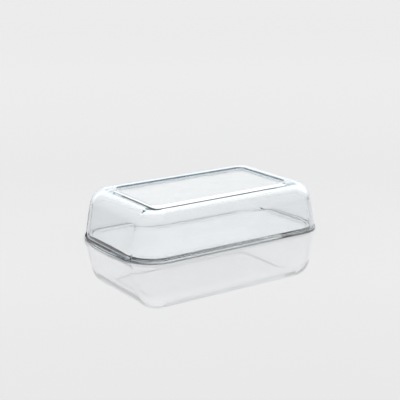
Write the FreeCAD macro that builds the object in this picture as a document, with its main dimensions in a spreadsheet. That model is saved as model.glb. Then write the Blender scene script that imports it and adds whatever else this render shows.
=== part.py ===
"""Pressed-glass butter dish: a low tray that holds the butter, and a trough-shaped cover that stands over it.

The frame has +Z up and its origin on the table, under the middle of the dish. The long side runs along X.
"""

import FreeCAD, Part
import math
import os

import Sketcher

# Driving dimensions, in millimetres, and degrees for the one taper.
DIMENSIONS = {
    # Cover: outside form
    "cover_length": 191.0,  # over the end walls, at the rim
    "cover_width": 115.0,  # over the side walls, at the rim
    "cover_height": 43.0,  # from the rim to the crest of the top frame
    "end_lean": 10.8,  # how far an end wall leans in over the full height
    "side_lean": 2.9,  # how far a side wall leans in over the full height
    "rim_corner": 27.0,  # plan radius of the corners at the rim
    "top_corner": 17.5,  # plan radius of the corners at the top, before the shoulder is rounded
    "shoulder": 16.0,  # radius that rolls the walls over into the top
    # Cover: glass thickness
    "wall": 3.1,
    "panel": 3.0,
    "inner_shoulder": 12.5,
    # Cover: sunk panel inside the raised top frame
    "panel_length": 137.0,
    "panel_width": 70.0,
    "panel_corner": 7.0,
    "panel_sink": 2.0,
    "panel_taper": 30.0,  # slope of the frame's inner side
    "frame_round": 1.4,
    # Cover: bead round the rim
    "bead_proud": 0.2,
    "bead_rise": 2.2,
    "rim_round": 0.8,  # on every edge that meets the table
    # Cover: crescent grips on both ends
    "grip_span": 200.0,  # over both grips
    "grip_width": 78.0,
    "grip_bulge": 5.2,  # how far the middle of a grip stands out past its ends
    "grip_ledge": 1.6,  # thickness of the flat outer part
    "grip_root": 6.0,  # height at which the grip runs out into the end wall
    "root_round": 5.0,
    "grip_bury": 0.6,  # how far the root runs on inside the end wall, where the corners curve away
    # Tray
    "tray_gap": 1.0,  # clearance to the inside of the cover, at the top of the lip
    "tray_rise": 3.4,  # height of the lip
    "tray_floor": 2.6,  # height of the floor that the butter lies on
    "tray_corner": 21.5,
    "lip_width": 3.0,
    "lip_round": 0.5,
    "foot_width": 7.0,  # width of the flat ring that the tray stands on
    "foot_sink": 0.4,
}

# Sketcher's names for the points of a line or an arc, and for a sketch's own origin.
START, END = 1, 2
ORIGIN = (-1, 1)
UP = FreeCAD.Vector(0, 0, 1)
CUT_MARGIN = 4.0  # how far a cutting profile runs past what it cuts
EDGE_SLACK = 0.1  # room round the rectangle that tells wanted edges from others
LEVEL_SLACK = 0.01  # how far off its height a level edge may measure

document = FreeCAD.newDocument("butter_dish")
sheet = document.addObject("Spreadsheet::Sheet", "dimensions")
for row, (alias, value) in enumerate(DIMENSIONS.items(), start=1):
    sheet.set(f"A{row}", alias)
    sheet.set(f"B{row}", str(value))
    sheet.setAlias(f"B{row}", alias)
document.recompute()


def bound(text):
    """Turns each dimension's name in an expression into a reference to its cell."""
    return " ".join(f"dimensions.{word}" if word in DIMENSIONS else word for word in text.split())


def size_of(text):
    """The present value of an expression of dimensions."""
    return float(sheet.evalExpression(bound(text)))


def vector(x, y):
    return FreeCAD.Vector(x, y, 0)


def new_body(label):
    body = document.addObject("PartDesign::Body", label)
    body.Label = label
    return body


def new_sketch(body, name, plane="XY_Plane", level=None):
    """A sketch on one of the body's own origin planes, raised to a level if one is given.

    Without a body the sketch is level and stands alone in the document.
    """
    if body is None:
        sketch = document.addObject("Sketcher::SketchObject", name)
        sketch.setExpression("Placement.Base.z", bound(level or "0"))
        return sketch
    sketch = body.newObject("Sketcher::SketchObject", name)
    support = next(f for f in body.Origin.OriginFeatures if f.Role == plane)
    sketch.AttachmentSupport = [(support, "")]
    sketch.MapMode = "FlatFace"
    if level:
        sketch.setExpression("AttachmentOffset.Base.z", bound(level))
    return sketch


def new_feature(body, kind, name, **sizes):
    """A PartDesign feature whose sizes are bound to expressions of dimensions."""
    feature = body.newObject(f"PartDesign::{kind}", name)
    for size, text in sizes.items():
        feature.setExpression(size, bound(text))
    return feature


def measure(sketch, kind, *items, size):
    """A sketch dimension that the sheet drives."""
    index = sketch.addConstraint(Sketcher.Constraint(kind, *items, size_of(size)))
    sketch.setExpression(f"Constraints[{index}]", bound(size))


def constrain(sketch, kind, *items):
    sketch.addConstraint(Sketcher.Constraint(kind, *items))


def rounded_rectangle(body, name, half_length, half_width, radius, level=None):
    """A centred rectangle with round corners, as four lines and four tangent arcs."""
    sketch = new_sketch(body, name, level=level)
    a, b, r = size_of(half_length), size_of(half_width), size_of(radius)
    corners = [(1, -1), (1, 1), (-1, 1), (-1, -1)]
    arcs = []
    for turn, (side_x, side_y) in enumerate(corners):
        circle = Part.Circle(vector(side_x * (a - r), side_y * (b - r)), UP, r)
        begin = (turn - 1) * math.pi / 2
        arcs.append(sketch.addGeometry(Part.ArcOfCircle(circle, begin, begin + math.pi / 2), False))
    following = arcs[1:] + arcs[:1]
    lines = []
    for arc, after in zip(arcs, following):
        tail, head = sketch.Geometry[arc].EndPoint, sketch.Geometry[after].StartPoint
        lines.append(sketch.addGeometry(Part.LineSegment(tail, head), False))
    for arc, line, after, direction in zip(arcs, lines, following, ("Vertical", "Horizontal") * 2):
        constrain(sketch, "Tangent", arc, END, line, START)
        constrain(sketch, "Tangent", line, END, after, START)
        constrain(sketch, direction, line)
    for arc in arcs[1:]:
        constrain(sketch, "Equal", arcs[0], arc)
    constrain(sketch, "Symmetric", lines[0], START, lines[2], START, *ORIGIN)
    measure(sketch, "DistanceX", *ORIGIN, lines[0], START, size=half_length)
    measure(sketch, "DistanceY", *ORIGIN, lines[1], START, size=half_width)
    measure(sketch, "Radius", arcs[0], size=radius)
    return sketch


def edges_where(feature, wanted):
    """The names of the feature's edges whose bounding box passes a test."""
    document.recompute()
    found = [f"Edge{n}" for n, edge in enumerate(feature.Shape.Edges, start=1) if wanted(edge.BoundBox)]
    if not found:
        raise RuntimeError(f"{feature.Name} has no such edge")
    return found


def level_at(height, inside=None, outside=None):
    """A test for level edges at a height, which may have to lie inside or outside a centred rectangle."""

    def wanted(box):
        reach_x, reach_y = max(abs(box.XMin), abs(box.XMax)), max(abs(box.YMin), abs(box.YMax))
        if box.ZLength > LEVEL_SLACK or abs(box.ZMin - height) > LEVEL_SLACK:
            return False
        if inside and (reach_x > inside[0] or reach_y > inside[1]):
            return False
        return not outside or reach_x > outside[0] or reach_y > outside[1]

    return wanted


def round_edges(body, name, base, wanted, radius):
    fillet = body.newObject("PartDesign::Fillet", name)
    fillet.Base = (base, edges_where(base, wanted))
    fillet.setExpression("Radius", bound(radius))
    return fillet


def grip_outline(body):
    """Plan of one bar that carries both crescent grips: an arc bows out at each end."""
    sketch = new_sketch(body, "grip_outline")
    tip, half_width, bulge = size_of("grip_span / 2"), size_of("grip_width / 2"), size_of("grip_bulge")
    corner = tip - bulge
    ends = [(-corner, half_width), (-corner, -half_width), (corner, -half_width), (corner, half_width)]
    ends = [vector(*end) for end in ends]
    left = sketch.addGeometry(Part.Arc(ends[0], vector(-tip, 0), ends[1]), False)
    front = sketch.addGeometry(Part.LineSegment(ends[1], ends[2]), False)
    right = sketch.addGeometry(Part.Arc(ends[2], vector(tip, 0), ends[3]), False)
    back = sketch.addGeometry(Part.LineSegment(ends[3], ends[0]), False)
    chain = [left, front, right, back]
    for line, after in zip(chain, chain[1:] + chain[:1]):
        constrain(sketch, "Coincident", line, END, after, START)
    constrain(sketch, "Horizontal", front)
    constrain(sketch, "Symmetric", front, START, back, START, *ORIGIN)
    constrain(sketch, "Symmetric", front, START, back, END, -1)
    constrain(sketch, "Equal", left, right)
    measure(sketch, "DistanceX", *ORIGIN, front, END, size="grip_span / 2 - grip_bulge")
    measure(sketch, "DistanceY", *ORIGIN, back, START, size="grip_width / 2")
    radius = "( pow( grip_width / 2 ; 2 ) + pow( grip_bulge ; 2 ) ) / ( 2 * grip_bulge )"
    measure(sketch, "Radius", left, size=radius)
    return sketch


def grip_scoops(body):
    """Profiles, seen from the front, of what is cut away above the ledges of both grips.

    Each runs from outside the grip over the flat ledge and up a hollow arc into the end wall.
    """
    sketch = new_sketch(body, "grip_scoops", plane="XZ_Plane")
    wall_there = "cover_length / 2 - end_lean * grip_root / cover_height - grip_bury"
    outside = f"grip_span / 2 + {CUT_MARGIN}"
    above = f"grip_root + {CUT_MARGIN}"
    drop = "( grip_ledge + root_round - grip_root )"
    reach = f"{wall_there} + sqrt( pow( root_round ; 2 ) - pow( {drop} ; 2 ) )"
    radius, centre_z = size_of("root_round"), size_of("grip_ledge + root_round")
    lean = math.asin((centre_z - size_of("grip_root")) / radius)
    for side in (-1, 1):
        hollow_x, wall_x, far_x = side * size_of(reach), side * size_of(wall_there), side * size_of(outside)
        ledge_z, root_z, top_z = size_of("grip_ledge"), size_of("grip_root"), size_of(above)
        inner_corners = [vector(wall_x, root_z), vector(wall_x, top_z)]
        corners = inner_corners + [vector(far_x, top_z), vector(far_x, ledge_z), vector(hollow_x, ledge_z)]
        lines = []
        for tail, head in zip(corners, corners[1:]):
            lines.append(sketch.addGeometry(Part.LineSegment(tail, head), False))
        up, across, down, ledge = lines
        circle = Part.Circle(vector(hollow_x, centre_z), UP, radius)
        below, beside = -math.pi / 2, -lean
        at_ledge, at_wall = START, END
        if side > 0:
            below, beside = math.pi + lean, 3 * math.pi / 2
            at_ledge, at_wall = END, START
        hollow = sketch.addGeometry(Part.ArcOfCircle(circle, below, beside), False)
        for joint in [(up, END, across, START), (across, END, down, START), (down, END, ledge, START)]:
            constrain(sketch, "Coincident", *joint)
        constrain(sketch, "Tangent", ledge, END, hollow, at_ledge)
        constrain(sketch, "Coincident", hollow, at_wall, up, START)
        for line, direction in zip((up, across, down, ledge), ("Vertical", "Horizontal") * 2):
            constrain(sketch, direction, line)
        sign = "-1" if side < 0 else "1"
        measure(sketch, "DistanceX", *ORIGIN, up, START, size=f"{sign} * ( {wall_there} )")
        measure(sketch, "DistanceX", *ORIGIN, down, START, size=f"{sign} * ( {outside} )")
        measure(sketch, "DistanceY", *ORIGIN, up, START, size="grip_root")
        measure(sketch, "DistanceY", *ORIGIN, ledge, START, size="grip_ledge")
        measure(sketch, "DistanceY", *ORIGIN, across, START, size=above)
        measure(sketch, "Radius", hollow, size="root_round")
    return sketch


def leaning_outlines(body, name, inset, height):
    """Two rounded rectangles, at the rim and at a height, between which the walls lean in."""
    share = f"( {height} ) / cover_height"
    rim = rounded_rectangle(
        body,
        f"{name}_rim",
        f"cover_length / 2 - {inset}",
        f"cover_width / 2 - {inset}",
        f"rim_corner - {inset}",
    )
    top = rounded_rectangle(
        body,
        f"{name}_top",
        f"cover_length / 2 - {inset} - end_lean * {share}",
        f"cover_width / 2 - {inset} - side_lean * {share}",
        f"rim_corner - {inset} - ( rim_corner - top_corner ) * {share}",
        level=height,
    )
    return rim, top


def round_solid(name, base, wanted, radius):
    """A Part fillet of the edges that pass a test."""
    document.recompute()
    rounded = document.addObject("Part::Fillet", name)
    rounded.Base = base
    size = size_of(radius)
    numbered = enumerate(base.Shape.Edges, start=1)
    rounded.Edges = [(n, size, size) for n, edge in numbered if wanted(edge.BoundBox)]
    return rounded


def make_hollow():
    """The space inside the cover, for the cover to be cut with."""
    ceiling = "cover_height - panel_sink - panel"
    form = document.addObject("Part::Loft", "hollow_form")
    form.Sections = list(leaning_outlines(None, "hollow", "wall", ceiling))
    form.Solid = True
    return round_solid("hollow", form, level_at(size_of(ceiling)), "inner_shoulder")


def make_cover():
    """The cover, pressed in one piece: grips, leaning walls, rounded top with a raised frame, hollow."""
    body = new_body("cover_form")
    bar = new_feature(body, "Pad", "grip_bar", Length="grip_root")
    bar.Profile = grip_outline(body)
    scoops = grip_scoops(body)
    ledges = new_feature(body, "Pocket", "grip_ledges", Length="cover_width")
    ledges.Profile = scoops
    ledges.SideType = "Symmetric"

    form = body.newObject("PartDesign::AdditiveLoft", "outer_form")
    form.Profile, top = leaning_outlines(body, "outer", "0", "cover_height")
    form.Sections = [top]
    height = size_of("cover_height")
    round_edges(body, "shoulders", form, level_at(height), "shoulder")

    bead = new_feature(body, "Pad", "rim_bead", Length="bead_rise")
    bead.Profile = rounded_rectangle(
        body,
        "bead_outline",
        "cover_length / 2 + bead_proud",
        "cover_width / 2 + bead_proud",
        "rim_corner + bead_proud",
    )

    panel = new_feature(body, "Pocket", "sunk_panel", Length="panel_sink", TaperAngle="0 - panel_taper")
    panel.Profile = rounded_rectangle(
        body, "panel_outline", "panel_length / 2", "panel_width / 2", "panel_corner", level="cover_height"
    )
    within = (size_of("panel_length / 2") + EDGE_SLACK, size_of("panel_width / 2") + EDGE_SLACK)
    sunk = height - size_of("panel_sink")
    frame = round_edges(body, "frame_crest", panel, level_at(height, inside=within), "frame_round")
    round_edges(body, "frame_foot", frame, level_at(sunk), "frame_round")

    shell = document.addObject("Part::Cut", "cover_shell")
    shell.Base, shell.Tool = body, make_hollow()
    return round_solid("cover", shell, level_at(0), "rim_round")


def make_tray():
    """The tray: a flat plate with a low lip, standing on a ring, that fits inside the cover's mouth."""
    body = new_body("tray")
    lean = "tray_rise / cover_height"
    half_length = f"cover_length / 2 - wall - end_lean * {lean} - tray_gap"
    half_width = f"cover_width / 2 - wall - side_lean * {lean} - tray_gap"
    plate = new_feature(body, "Pad", "plate", Length="tray_rise")
    plate.Profile = rounded_rectangle(body, "tray_outline", half_length, half_width, "tray_corner")
    well = new_feature(body, "Pocket", "well", Length="tray_rise - tray_floor", TaperAngle="0 - panel_taper")
    well.Profile = rounded_rectangle(
        body,
        "well_outline",
        f"{half_length} - lip_width",
        f"{half_width} - lip_width",
        "tray_corner - lip_width",
        level="tray_rise",
    )
    foot = new_feature(body, "Pocket", "underside", Length="foot_sink")
    foot.Profile = rounded_rectangle(
        body,
        "foot_outline",
        f"{half_length} - foot_width",
        f"{half_width} - foot_width",
        "tray_corner - foot_width",
    )
    foot.Reversed = True
    rounded = round_edges(body, "lip", foot, level_at(size_of("tray_rise")), "lip_round")
    rounded = round_edges(body, "well_foot", rounded, level_at(size_of("tray_floor")), "lip_round")
    outer = (size_of(half_length) - EDGE_SLACK, size_of(half_width) - EDGE_SLACK)
    round_edges(body, "foot_edge", rounded, level_at(0, outside=outer), "lip_round")
    return body


pieces = [make_cover(), make_tray()]
document.recompute()
for item in document.Objects:
    if {"Invalid", "Error"} & set(item.State):
        raise RuntimeError(f"{item.Name} failed: {item.State}")
os.makedirs("parts", exist_ok=True)
for piece in pieces:
    if piece.Shape.isNull() or not piece.Shape.isValid():
        raise RuntimeError(f"{piece.Label} has no valid shape")
    print(piece.Label, round(piece.Shape.Volume), len(piece.Shape.Solids), piece.Shape.BoundBox)
    piece.Shape.exportStep(f"parts/{piece.Label}.step")
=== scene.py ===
"""The pressed-glass butter dish, cover and tray, standing on a pale glossy floor in soft studio light.

Everything is in metres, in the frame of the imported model: +Z is up and the long side runs along X.
"""

import math

import bmesh
import bpy
import numpy as np
from mathutils import Matrix, Vector


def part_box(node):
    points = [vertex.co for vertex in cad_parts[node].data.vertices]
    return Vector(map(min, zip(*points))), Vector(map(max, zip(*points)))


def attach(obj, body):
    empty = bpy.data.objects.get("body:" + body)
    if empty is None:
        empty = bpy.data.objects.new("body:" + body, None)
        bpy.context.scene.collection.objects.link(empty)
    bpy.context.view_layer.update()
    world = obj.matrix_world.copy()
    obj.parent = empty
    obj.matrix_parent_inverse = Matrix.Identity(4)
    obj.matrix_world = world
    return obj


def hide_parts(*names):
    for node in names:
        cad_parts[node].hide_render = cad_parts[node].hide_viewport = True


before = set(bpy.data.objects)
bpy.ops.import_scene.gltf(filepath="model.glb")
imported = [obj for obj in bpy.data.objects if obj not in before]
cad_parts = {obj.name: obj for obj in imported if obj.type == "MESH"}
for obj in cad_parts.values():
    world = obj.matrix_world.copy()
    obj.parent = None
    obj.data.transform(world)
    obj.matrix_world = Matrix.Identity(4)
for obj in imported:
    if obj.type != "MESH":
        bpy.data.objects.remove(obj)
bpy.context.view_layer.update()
COVER_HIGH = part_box("cover")[1]
TRAY_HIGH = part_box("tray")[1]

# Cover, outside. The frame gives its height, its width over the rim bead and its length over the grips.
HEIGHT = COVER_HIGH.z
GRIP_TIP = COVER_HIGH.x
BEAD_PROUD = 0.0002
HALF_WIDTH = COVER_HIGH.y - BEAD_PROUD
HALF_LENGTH = 0.0955
END_LEAN = 0.0108
SIDE_LEAN = 0.0029
RIM_CORNER = 0.027
TOP_CORNER = 0.0175
SHOULDER = 0.016

# Cover, glass thickness
WALL = 0.0031
PANEL = 0.003
INNER_SHOULDER = 0.0125

# Cover, sunk panel inside the raised frame
PANEL_HALF = (0.0685, 0.035)
PANEL_CORNER = 0.007
PANEL_SINK = 0.002
PANEL_SLOPE = math.radians(60)
FRAME_ROUND = 0.0014

# Cover, rim bead and grips
BEAD_RISE = 0.0022
BEAD_ROUND = 0.0003
RIM_ROUND = 0.0008
BEAD_BLEND = 0.0008  # height over which the bead's top runs out on the wall
GRIP_HALF_WIDTH = 0.039
GRIP_BULGE = 0.0052
GRIP_LEDGE = 0.0016
GRIP_ROOT = 0.006
GRIP_ROUND = 0.0006
ROOT_ROUND = 0.005
GRIP_BURY = 0.0006  # how far the hollow root aims behind the wall's face
GRIP_END = 0.0003  # half the width in which a grip's end steps down to the bead

# Tray
TRAY_RISE = TRAY_HIGH.z
TRAY_FLOOR = 0.0026
TRAY_CORNER = 0.0215
LIP_WIDTH = 0.003
LIP_ROUND = 0.0005
FOOT_WIDTH = 0.007
FOOT_SINK = 0.0004

# How finely the meshes are divided, going round
END_COLUMNS = 16
CORNER_COLUMNS = (5, 39)  # before and after a grip's end
GRIP_END_COLUMNS = 13
GRIP_END_REACH = 2.0  # degrees of the corner to each side of a grip's end
SIDE_COLUMNS = 24

# How finely the meshes are divided, from ring to ring
EDGE_POINTS = 7
FRAME_POINTS = 9
INNER_SHOULDER_RINGS = 22
SHOULDER_RINGS = 26
INNER_WALL_STEPS = 16
WALL_STEPS = 14
FRAME_STEPS = 5
BLEND_STEPS = 6
ROOT_STEPS = 12
ROOT_EASE = 6  # a grip's root eases onto the wall over the last sixth of its way
COVER_CLOSING_STEPS = 10
TRAY_CLOSING_STEPS = 8
WELD_DISTANCE = 1e-6

# Glass: the waves that the mould leaves, and the finer ripple on them
WAVE_SCALE = 38.0
WAVE_DEPTH = 0.0004
WAVE_STRENGTH = 0.25
RIPPLE_SCALE = 260.0
RIPPLE_DEPTH = 0.00005
RIPPLE_STRENGTH = 0.12
GLASS_IOR = 1.5
GLASS_ROUGHNESS = (0.0, 0.03)
GLASS_TINT = (0.3, 0.52, 0.64)
COVER_DEPTH = 20.0  # how strongly the tint deepens with thickness
TRAY_DEPTH = 1.0

# Floor
FLOOR_COLOUR = (0.575, 0.575, 0.58)
FLOOR_IOR = 2.2
FLOOR_ROUGHNESS = (0.02, 0.04)
FLOOR_POLISH_SCALE = 6.0
FLOOR_REACH = 12.0
FLOOR_DROP = 0.0002  # keeps the floor clear of the glass that stands on it


def columns():
    """Where the columns of a ring mesh stand, going round anticlockwise from the middle of the +X end.

    Each has a place on the core rectangle and an outward direction, so that the core scaled by the half
    sizes less the corner radius, plus the direction times that radius, is a point of any rounded outline.
    """
    quarter = [(1.0, share, 0.0) for share in np.linspace(0, 1, END_COLUMNS + 1)[:-1]]
    grip_end = math.asin((GRIP_HALF_WIDTH - HALF_WIDTH + RIM_CORNER) / RIM_CORNER)
    near_end = grip_end + np.radians(np.linspace(-GRIP_END_REACH, GRIP_END_REACH, GRIP_END_COLUMNS))
    before = np.linspace(0, near_end[0], CORNER_COLUMNS[0] + 1)[:-1]
    after = np.linspace(near_end[-1], math.pi / 2, CORNER_COLUMNS[1] + 1)[1:]
    angles = np.concatenate([before, near_end, after])
    quarter += [(1.0, 1.0, angle) for angle in angles]
    quarter += [(share, 1.0, math.pi / 2) for share in np.linspace(1, 0, SIDE_COLUMNS + 1)[1:]]
    quarter = np.array(quarter)
    core, angle = quarter[:, :2], quarter[:, 2]
    towards = np.stack([np.cos(angle), np.sin(angle)], axis=1)
    cores, directions = [], []
    for flip in ((1, 1), (-1, 1), (-1, -1), (1, -1)):
        turned = slice(None, None, 1) if flip[0] * flip[1] > 0 else slice(None, None, -1)
        cores.append((core * flip)[turned][:-1])
        directions.append((towards * flip)[turned][:-1])
    return np.concatenate(cores), np.concatenate(directions)


CORE, OUTWARD = columns()


def outline(half_length, half_width, radius, height):
    """One ring: a rounded rectangle at a height. Any size may differ from column to column."""
    sizes = (half_length, half_width, radius)
    half_length, half_width, radius = (np.broadcast_to(size, len(CORE)) for size in sizes)
    inner = np.stack([half_length - radius, half_width - radius], axis=1)
    plan = CORE * inner + OUTWARD * radius[:, None]
    return np.column_stack([plan, np.broadcast_to(height, len(CORE))])


def wall_ring(height, inset=0.0):
    """The leaning wall's outline at a height, moved in by an inset."""
    share = height / HEIGHT
    half_length = HALF_LENGTH - inset - END_LEAN * share
    half_width = HALF_WIDTH - inset - SIDE_LEAN * share
    radius = RIM_CORNER - inset - (RIM_CORNER - TOP_CORNER) * share
    return outline(half_length, half_width, radius, height)


def arc(centre, radius, begin, end, steps):
    """Points of an arc in the section plane, as pairs of outward distance and height."""
    turns = np.radians(np.linspace(begin, end, steps))
    return [(centre[0] + radius * math.cos(t), centre[1] + radius * math.sin(t)) for t in turns]


def bezier(points, steps):
    """Rings along a Bezier curve between rings of control points, without the first."""
    rings = []
    order = len(points) - 1
    for t in np.linspace(0, 1, steps + 1)[1:]:
        weights = [math.comb(order, k) * (1 - t) ** (order - k) * t**k for k in range(order + 1)]
        rings.append(sum(w * p for w, p in zip(weights, points)))
    return rings


def shoulder_rings(top, radius, inset, steps):
    """Rings that roll the wall over into a level top, tangent to both."""
    rim, edge = wall_ring(0.0, inset), wall_ring(top, inset)
    lean = np.arctan2(np.sum((rim - edge)[:, :2] * OUTWARD, axis=1), top)
    reach = radius * np.tan((math.pi / 2 - lean) / 2)
    centre_in = top * np.tan(lean) + reach
    rings = []
    for share in np.linspace(0, 1, steps):
        turn = lean + (math.pi / 2 - lean) * share
        height = top - radius + radius * np.sin(turn)
        moved_in = centre_in - radius * np.cos(turn) - height * np.tan(lean)
        ring = wall_ring(height, inset)
        ring[:, :2] -= OUTWARD * moved_in[:, None]
        rings.append(ring)
    return rings


def between(first, last, steps):
    """Rings evenly spaced between two rings, without either."""
    return [first + (last - first) * share for share in np.linspace(0, 1, steps + 1)[1:-1]]


def closing_rings(edge, steps):
    """Rings that shrink a level outline to a line along its middle."""
    spine = edge.copy()
    half_spine = max(edge[:, 0].max() - edge[:, 1].max(), 0.0)
    spine[:, 0] = np.clip(edge[:, 0], -half_spine, half_spine)
    spine[:, 1] = 0.0
    shares = np.linspace(0, 1, steps + 1)[1:]
    return [edge + (spine - edge) * share for share in shares]


def ring_mesh(name, rings):
    """A closed mesh from rings that run from one closed middle over the rim to the other."""
    count = len(CORE)
    verts = np.concatenate(rings)
    faces = []
    for level in range(len(rings) - 1):
        low, high = level * count, (level + 1) * count
        for here in range(count):
            after = (here + 1) % count
            faces.append((low + here, low + after, high + after, high + here))
    mesh = bpy.data.meshes.new(name)
    mesh.from_pydata([tuple(v) for v in verts], [], faces)
    piece = bpy.data.objects.new(name, mesh)
    bpy.context.scene.collection.objects.link(piece)
    weld_mesh(mesh)
    mesh.shade_smooth()
    normals = piece.modifiers.new("normals", "WEIGHTED_NORMAL")
    normals.mode = "FACE_AREA"
    normals.weight = 50
    return piece


def weld_mesh(mesh):
    """Joins the points that meet on the middle lines and turns all faces outward."""
    work = bmesh.new()
    work.from_mesh(mesh)
    bmesh.ops.remove_doubles(work, verts=work.verts, dist=WELD_DISTANCE)
    bmesh.ops.dissolve_degenerate(work, edges=work.edges, dist=WELD_DISTANCE / 10)
    bmesh.ops.recalc_face_normals(work, faces=work.faces)
    work.to_mesh(mesh)
    work.free()


def bead_rings():
    """Rings from the flat of the rim, round the bead, and up to where the plain wall begins."""
    edge = arc((BEAD_PROUD - RIM_ROUND, RIM_ROUND), RIM_ROUND, -90, 0, EDGE_POINTS)
    edge += arc((BEAD_PROUD - BEAD_ROUND, BEAD_RISE - BEAD_ROUND), BEAD_ROUND, 0, 90, EDGE_POINTS)
    rings = [outline(HALF_LENGTH + out, HALF_WIDTH + out, RIM_CORNER + out, height) for out, height in edge]
    rings += bezier([rings[-1], wall_ring(BEAD_RISE), wall_ring(BEAD_RISE + BEAD_BLEND)], BLEND_STEPS)
    rings += between(rings[-1], wall_ring(GRIP_ROOT), ROOT_STEPS)
    return rings + [wall_ring(GRIP_ROOT)]


def grip_rings():
    """Rings up a grip's outer face, over its level ledge and up its hollow root, one for each bead ring."""
    rim, root = wall_ring(0.0), wall_ring(GRIP_ROOT)
    side, across = np.sign(rim[:, 0]), rim[:, 1]
    radius = (GRIP_HALF_WIDTH**2 + GRIP_BULGE**2) / (2 * GRIP_BULGE)
    inside = np.minimum(np.abs(across), GRIP_HALF_WIDTH)
    tip = GRIP_TIP - radius + np.sqrt(radius**2 - inside**2)
    wall_there = HALF_LENGTH - END_LEAN * GRIP_ROOT / HEIGHT - GRIP_BURY
    centre_z = GRIP_LEDGE + ROOT_ROUND
    foot_x = wall_there + math.sqrt(ROOT_ROUND**2 - (centre_z - GRIP_ROOT) ** 2)

    def top_at(reach):
        """Height of the grip's top: a level ledge that a hollow arc lifts towards the wall."""
        inside_foot = np.clip(foot_x - reach, 0, ROOT_ROUND)
        return centre_z - np.sqrt(ROOT_ROUND**2 - inside_foot**2)

    rings = []
    start = tip - GRIP_ROUND
    face = top_at(start)
    for turn in np.radians(np.linspace(-90, 0, EDGE_POINTS)):
        out, height = GRIP_ROUND * (math.cos(turn) - 1), GRIP_ROUND * (math.sin(turn) + 1)
        rings.append(np.column_stack([side * (tip + out), across, np.full(len(rim), height)]))
    for turn in np.radians(np.linspace(0, 90, EDGE_POINTS)):
        out, height = GRIP_ROUND * (math.cos(turn) - 1), face + GRIP_ROUND * (math.sin(turn) - 1)
        rings.append(np.column_stack([side * (tip + out), across, height]))
    for share in np.linspace(0, 1, BLEND_STEPS + ROOT_STEPS + 1)[1:]:
        reach = start + (np.abs(root[:, 0]) - start) * share
        height = np.minimum(top_at(reach), GRIP_ROOT)
        height = height + (GRIP_ROOT - height) * np.clip(share * ROOT_EASE - (ROOT_EASE - 1), 0, 1)
        rings.append(np.column_stack([side * reach, across + (root[:, 1] - across) * share, height]))
    return rings


def rim_profile_rings():
    """Rings from the flat of the rim to the plain wall: the grips' where they stand, the bead's elsewhere."""
    rim = wall_ring(0.0)
    at_end = np.abs(rim[:, 0]) > HALF_LENGTH - RIM_CORNER
    share = np.clip((GRIP_HALF_WIDTH + GRIP_END - np.abs(rim[:, 1])) / (2 * GRIP_END), 0, 1)
    share = (share**2 * (3 - 2 * share) * at_end)[:, None]
    return [plain * (1 - share) + held * share for plain, held in zip(bead_rings(), grip_rings())]


def panel_rings():
    """Rings down the inner side of the raised frame, from its crest to the sunk panel."""
    steep = math.degrees(PANEL_SLOPE)
    reach = FRAME_ROUND * math.tan(PANEL_SLOPE / 2)
    slope_in = PANEL_SINK / math.tan(PANEL_SLOPE)
    crest = arc((reach, HEIGHT - FRAME_ROUND), FRAME_ROUND, 90, 90 + steep, FRAME_POINTS)
    foot_centre = (-slope_in - reach, HEIGHT - PANEL_SINK + FRAME_ROUND)
    foot = arc(foot_centre, FRAME_ROUND, steep - 90, -90, FRAME_POINTS)
    section = crest + foot
    a, b = PANEL_HALF
    return [outline(a + out, b + out, PANEL_CORNER + out, height) for out, height in section]


def make_cover():
    """The cover, from the middle of its ceiling down the inside, round the rim and up to the sunk panel."""
    ceiling = HEIGHT - PANEL_SINK - PANEL
    inner = shoulder_rings(ceiling, INNER_SHOULDER, WALL, INNER_SHOULDER_RINGS)
    inside = closing_rings(inner[-1], COVER_CLOSING_STEPS)[::-1] + inner[::-1]
    edge = arc((RIM_ROUND, RIM_ROUND), RIM_ROUND, 180, 270, EDGE_POINTS)
    inner_rim = [wall_ring(0.0, WALL - out) + np.array([0, 0, height]) for out, height in edge]
    inside += between(inside[-1], inner_rim[0], INNER_WALL_STEPS) + inner_rim

    outside = rim_profile_rings()
    outer = shoulder_rings(HEIGHT, SHOULDER, 0.0, SHOULDER_RINGS)
    panel = panel_rings()
    outside += between(outside[-1], outer[0], WALL_STEPS) + outer
    outside += between(outer[-1], panel[0], FRAME_STEPS) + panel
    outside += closing_rings(panel[-1], COVER_CLOSING_STEPS)
    piece = ring_mesh("cover_glass_body", inside + outside)
    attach(piece, "cover")
    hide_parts("cover")
    return piece


def tray_ring(out, height):
    """The tray's outline at a height, moved out by some distance."""
    return outline(TRAY_HIGH.x + out, TRAY_HIGH.y + out, TRAY_CORNER + out, height)


def make_tray():
    """The tray, from the middle of its floor over the lip and foot ring to the middle of its underside."""
    slope_in = (TRAY_RISE - TRAY_FLOOR) / math.tan(PANEL_SLOPE)
    reach = LIP_ROUND * math.tan(PANEL_SLOPE / 2)
    steep = math.degrees(PANEL_SLOPE)
    well_centre = (-LIP_WIDTH - slope_in - reach, TRAY_FLOOR + LIP_ROUND)
    well = arc(well_centre, LIP_ROUND, -90, steep - 90, EDGE_POINTS)
    well += arc((-LIP_WIDTH + reach, TRAY_RISE - LIP_ROUND), LIP_ROUND, 90 + steep, 90, EDGE_POINTS)
    lip = arc((-LIP_ROUND, TRAY_RISE - LIP_ROUND), LIP_ROUND, 90, 0, EDGE_POINTS)
    lip += arc((-LIP_ROUND, LIP_ROUND), LIP_ROUND, 0, -90, EDGE_POINTS)
    foot = [(-FOOT_WIDTH - rise, rise) for rise in (0.0, FOOT_SINK / 2, FOOT_SINK)]
    section = [tray_ring(out, height) for out, height in well + lip + foot]
    rings = closing_rings(section[0], TRAY_CLOSING_STEPS)[::-1] + section
    rings += closing_rings(section[-1], TRAY_CLOSING_STEPS)
    piece = ring_mesh("tray_glass_body", rings)
    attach(piece, "tray")
    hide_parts("tray")
    return piece


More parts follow.
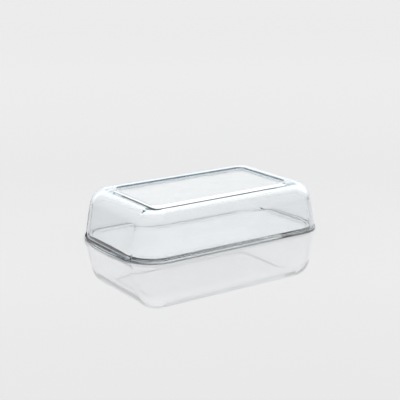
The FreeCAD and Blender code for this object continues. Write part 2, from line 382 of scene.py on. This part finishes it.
def noise(tree, place, scale, detail):
    texture = tree.nodes.new("ShaderNodeTexNoise")
    texture.inputs["Scale"].default_value = scale
    texture.inputs["Detail"].default_value = detail
    tree.links.new(place.outputs["Object"], texture.inputs["Vector"])
    return texture.outputs["Fac"]


def bump(tree, height, strength, depth):
    relief = tree.nodes.new("ShaderNodeBump")
    relief.inputs["Strength"].default_value = strength
    relief.inputs["Distance"].default_value = depth
    tree.links.new(height, relief.inputs["Height"])
    return relief


def polish(tree, pattern, roughness):
    """Spreads the shader's roughness between two values by a pattern."""
    spread = tree.nodes.new("ShaderNodeMapRange")
    spread.inputs["To Min"].default_value, spread.inputs["To Max"].default_value = roughness
    tree.links.new(pattern, spread.inputs["Value"])
    tree.links.new(spread.outputs["Result"], tree.nodes["Principled BSDF"].inputs["Roughness"])


def glass(name, tint, density):
    """Clear pressed glass: a faint tint that deepens with thickness, and the soft waves of the mould."""
    material = bpy.data.materials.new(name)
    material.use_nodes = True
    tree = material.node_tree
    shader = tree.nodes["Principled BSDF"]
    shader.inputs["Base Color"].default_value = (1.0, 1.0, 1.0, 1.0)
    shader.inputs["Transmission Weight"].default_value = 1.0
    shader.inputs["IOR"].default_value = GLASS_IOR
    place = tree.nodes.new("ShaderNodeTexCoord")
    waves = noise(tree, place, WAVE_SCALE, 1.5)
    ripple = noise(tree, place, RIPPLE_SCALE, 2.0)
    broad = bump(tree, waves, WAVE_STRENGTH, WAVE_DEPTH)
    fine = bump(tree, ripple, RIPPLE_STRENGTH, RIPPLE_DEPTH)
    tree.links.new(broad.outputs["Normal"], fine.inputs["Normal"])
    tree.links.new(fine.outputs["Normal"], shader.inputs["Normal"])
    polish(tree, ripple, GLASS_ROUGHNESS)

    body = tree.nodes.new("ShaderNodeVolumeAbsorption")
    body.inputs["Color"].default_value = (*tint, 1.0)
    body.inputs["Density"].default_value = density
    tree.links.new(body.outputs["Volume"], tree.nodes["Material Output"].inputs["Volume"])
    return material


def floor_material():
    """A smooth pale sheet, glossy, with a faint uneven polish."""
    material = bpy.data.materials.new("pale_sheet")
    material.use_nodes = True
    tree = material.node_tree
    shader = tree.nodes["Principled BSDF"]
    shader.inputs["Base Color"].default_value = (*FLOOR_COLOUR, 1.0)
    shader.inputs["IOR"].default_value = FLOOR_IOR
    place = tree.nodes.new("ShaderNodeTexCoord")
    polish(tree, noise(tree, place, FLOOR_POLISH_SCALE, 2.0), FLOOR_ROUGHNESS)
    return material


def make_floor():
    mesh = bpy.data.meshes.new("floor")
    corners = [(-1, -1), (1, -1), (1, 1), (-1, 1)]
    verts = [(x * FLOOR_REACH, y * FLOOR_REACH, -FLOOR_DROP) for x, y in corners]
    mesh.from_pydata(verts, [], [(0, 1, 2, 3)])
    floor = bpy.data.objects.new("floor", mesh)
    bpy.context.scene.collection.objects.link(floor)
    floor.data.materials.append(floor_material())


CAMERA_AZIMUTH = math.radians(-33.729)
CAMERA_ELEVATION = math.radians(14.952)
CAMERA_ROLL = math.radians(-0.486)
CAMERA_DISTANCE = 0.89675
CAMERA_AIM = Vector((0.01675, 0.02689, 0.020))
CAMERA_LENS = 89.04
CAMERA_SENSOR = 36.0
CAMERA_NEAR = 0.01


def make_camera():
    level = math.cos(CAMERA_ELEVATION)
    back = Vector(
        (math.sin(CAMERA_AZIMUTH) * level, -math.cos(CAMERA_AZIMUTH) * level, math.sin(CAMERA_ELEVATION))
    )
    camera = bpy.data.objects.new("camera", bpy.data.cameras.new("camera"))
    bpy.context.scene.collection.objects.link(camera)
    camera.data.lens = CAMERA_LENS
    camera.data.sensor_width = CAMERA_SENSOR
    camera.data.clip_start = CAMERA_NEAR
    facing = back.to_track_quat("Z", "Y").to_matrix().to_4x4()
    stand = Matrix.Translation(CAMERA_AIM + back * CAMERA_DISTANCE)
    camera.matrix_world = stand @ facing @ Matrix.Rotation(CAMERA_ROLL, 4, "Z")
    bpy.context.scene.camera = camera


# How bright the studio is at some heights of the direction, from level (0) to straight up (1).
ROOM_LIGHT = [(0.0, 0.3), (0.2, 0.7), (0.34, 0.95), (0.7, 0.95), (0.95, 1.6)]
BACKDROP_LIGHT = [(0.0, 0.85), (0.2, 1.05), (0.34, 1.28), (0.7, 1.4), (0.95, 1.6)]
BACKDROP_EDGES = (0.62, 0.92)  # cosines off the camera's heading where the backdrop fades out and is full
BRIGHTEST = 2.0


def light_ramp(tree, height, stops):
    """A grey ramp over the height of the direction. The ramp holds shares of the brightest light."""
    ramp = tree.nodes.new("ShaderNodeValToRGB")
    ramp.color_ramp.interpolation = "EASE"
    elements = ramp.color_ramp.elements
    while len(elements) < len(stops):
        elements.new(0.5)
    for element, (place, light) in zip(elements, stops):
        element.position = place
        element.color = (light / BRIGHTEST, light / BRIGHTEST, light / BRIGHTEST, 1.0)
    tree.links.new(height, ramp.inputs["Fac"])
    return ramp.outputs["Color"]


def make_light():
    """Soft studio light: a bright ceiling, a pale backdrop behind the dish and a dimmer room around it."""
    world = bpy.data.worlds.new("studio")
    world.use_nodes = True
    tree = world.node_tree
    background = tree.nodes["Background"]
    background.inputs["Strength"].default_value = BRIGHTEST
    direction = tree.nodes.new("ShaderNodeTexCoord").outputs["Generated"]
    split = tree.nodes.new("ShaderNodeSeparateXYZ")
    tree.links.new(direction, split.inputs["Vector"])
    flat = tree.nodes.new("ShaderNodeVectorMath")
    flat.operation = "MULTIPLY"
    flat.inputs[1].default_value = (1.0, 1.0, 0.0)
    tree.links.new(direction, flat.inputs[0])
    unit = tree.nodes.new("ShaderNodeVectorMath")
    unit.operation = "NORMALIZE"
    tree.links.new(flat.outputs["Vector"], unit.inputs[0])
    heading = tree.nodes.new("ShaderNodeVectorMath")
    heading.operation = "DOT_PRODUCT"
    heading.inputs[1].default_value = (-math.sin(CAMERA_AZIMUTH), math.cos(CAMERA_AZIMUTH), 0.0)
    tree.links.new(unit.outputs["Vector"], heading.inputs[0])
    edge = tree.nodes.new("ShaderNodeMapRange")
    edge.interpolation_type = "SMOOTHSTEP"
    edge.inputs["From Min"].default_value, edge.inputs["From Max"].default_value = BACKDROP_EDGES
    tree.links.new(heading.outputs["Value"], edge.inputs["Value"])
    mix = tree.nodes.new("ShaderNodeMix")
    mix.data_type = "RGBA"
    tree.links.new(edge.outputs["Result"], mix.inputs["Factor"])
    tree.links.new(light_ramp(tree, split.outputs["Z"], ROOM_LIGHT), mix.inputs["A"])
    tree.links.new(light_ramp(tree, split.outputs["Z"], BACKDROP_LIGHT), mix.inputs["B"])
    tree.links.new(mix.outputs["Result"], background.inputs["Color"])
    bpy.context.scene.world = world


def allow_deep_paths():
    """Lets light pass through many glass faces, as it does in a rim or between two panes."""
    cycles = bpy.context.scene.cycles
    cycles.max_bounces = 40
    cycles.transmission_bounces = 40
    cycles.glossy_bounces = 12
    cycles.diffuse_bounces = 8
    cycles.blur_glossy = 0.0


cover = make_cover()
tray = make_tray()
cover.data.materials.append(glass("cover_glass", GLASS_TINT, COVER_DEPTH))
tray.data.materials.append(glass("tray_glass", GLASS_TINT, TRAY_DEPTH))
make_floor()
make_camera()
make_light()
allow_deep_paths()
bpy.context.scene.view_settings.view_transform = "Standard"
